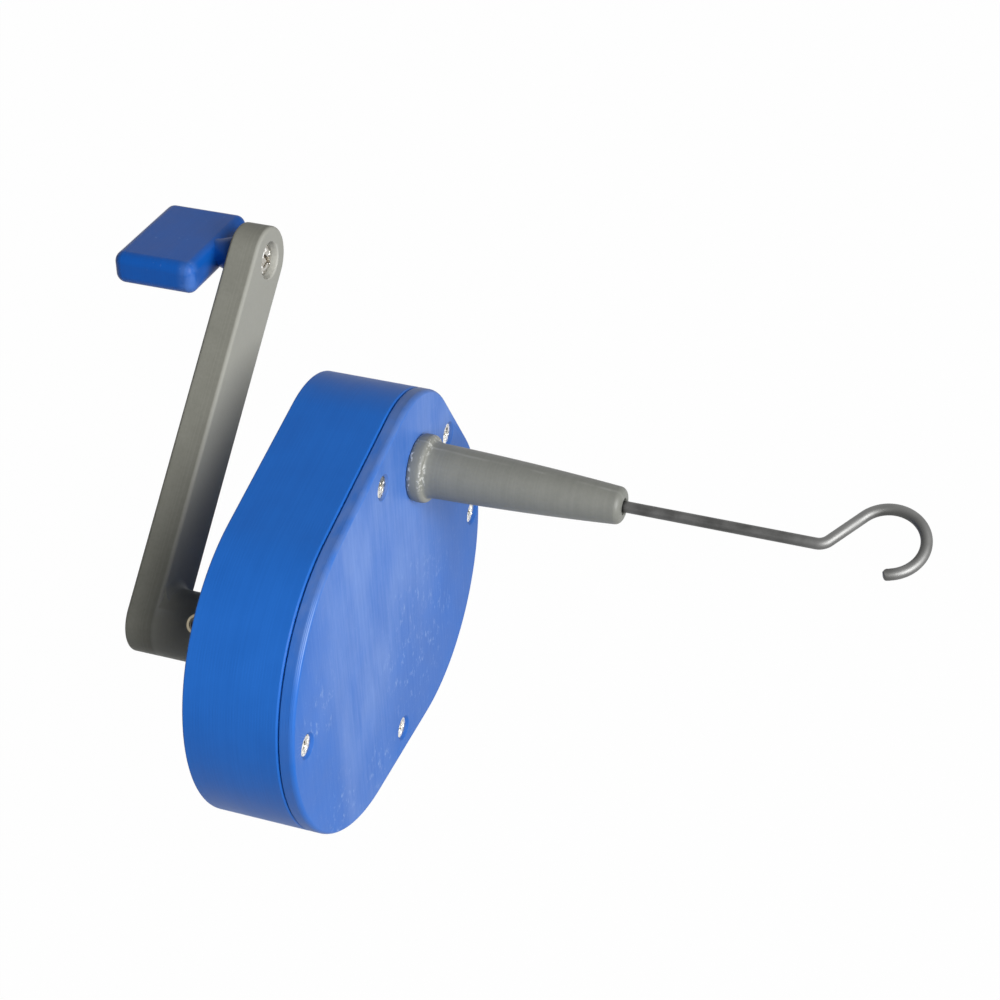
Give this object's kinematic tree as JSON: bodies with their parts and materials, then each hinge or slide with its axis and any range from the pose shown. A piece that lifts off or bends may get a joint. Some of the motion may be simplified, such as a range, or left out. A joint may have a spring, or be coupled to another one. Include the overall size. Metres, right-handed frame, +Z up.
{
  "type": "rubber band winder",
  "caption": "Hand-cranked winder for rubber motors: a crank drives a step-up gear train in a flat casing, which spins a wire hook that runs out through a tapered nose tube.",
  "frame": {"origin": "middle of the flat side that the casing rests on, halfway along the depth of the rear casing", "axes": "+X along the hook axis, towards the hook; +Z up from the rest side; +Y to the left when looking along +X, across the casing from the crank axis towards the hook axis"},
  "size_m": [0.1768, 0.1059, 0.0945],
  "materials": {
    "casing_plastic": "satin, with fine printed layers",
    "grey_plastic": "matte, with fine printed layers",
    "gear_plastic": "matte",
    "steel": "bright",
    "brass": "satin"
  },
  "bodies": {
    "casing": {"rear_casing": "casing_plastic", "front_cover": "casing_plastic", "cover_screws": "steel", "nose_tube": "grey_plastic", "nose_front_bush": "brass", "nose_rear_bush": "brass", "hook_rear_bush": "brass", "idler_axle": "steel", "idler_washers": "steel", "crank_rear_bush": "brass", "crank_front_bush": "brass"},
    "crank": {"crank_shaft": "steel", "crank_gear": "gear_plastic", "crank_gear_pin": "steel", "crank_inner_washer": "steel", "crank_outer_washer": "steel", "crank_arm": "grey_plastic", "crank_insert": "brass", "crank_set_screw": "steel", "handle_bush": "brass"},
    "idler": {"idler_gear": "gear_plastic", "idler_sleeve": "brass"},
    "hook": {"hook_shaft": "steel", "hook_pinion": "gear_plastic", "hook_pinion_screw": "steel", "hook_thrust_washer": "brass"},
    "handle": {"handle_paddle": "casing_plastic", "handle_screw": "steel", "handle_washer": "steel"}
  },
  "joints": [
    {"name": "crank_spin", "type": "hinge", "parent": "casing", "child": "crank", "pos_m": [0, -0.0146, 0.035], "axis": [1, 0, 0], "continuous": true},
    {"name": "idler_spin", "type": "hinge", "parent": "casing", "child": "idler", "pos_m": [0, 0.014, 0.03838], "axis": [1, 0, 0], "continuous": true},
    {"name": "hook_spin", "type": "hinge", "parent": "casing", "child": "hook", "pos_m": [0, 0.016, 0.0626], "axis": [1, 0, 0], "continuous": true},
    {"name": "handle_spin", "type": "hinge", "parent": "crank", "child": "handle", "pos_m": [0, 0.04385, 0.08726], "axis": [1, 0, 0], "continuous": true}
  ],
  "couplings": [
    {"joint": "idler_spin", "follows": "crank_spin", "ratio": -4.3333},
    {"joint": "hook_spin", "follows": "crank_spin", "ratio": 15.167}
  ]
}
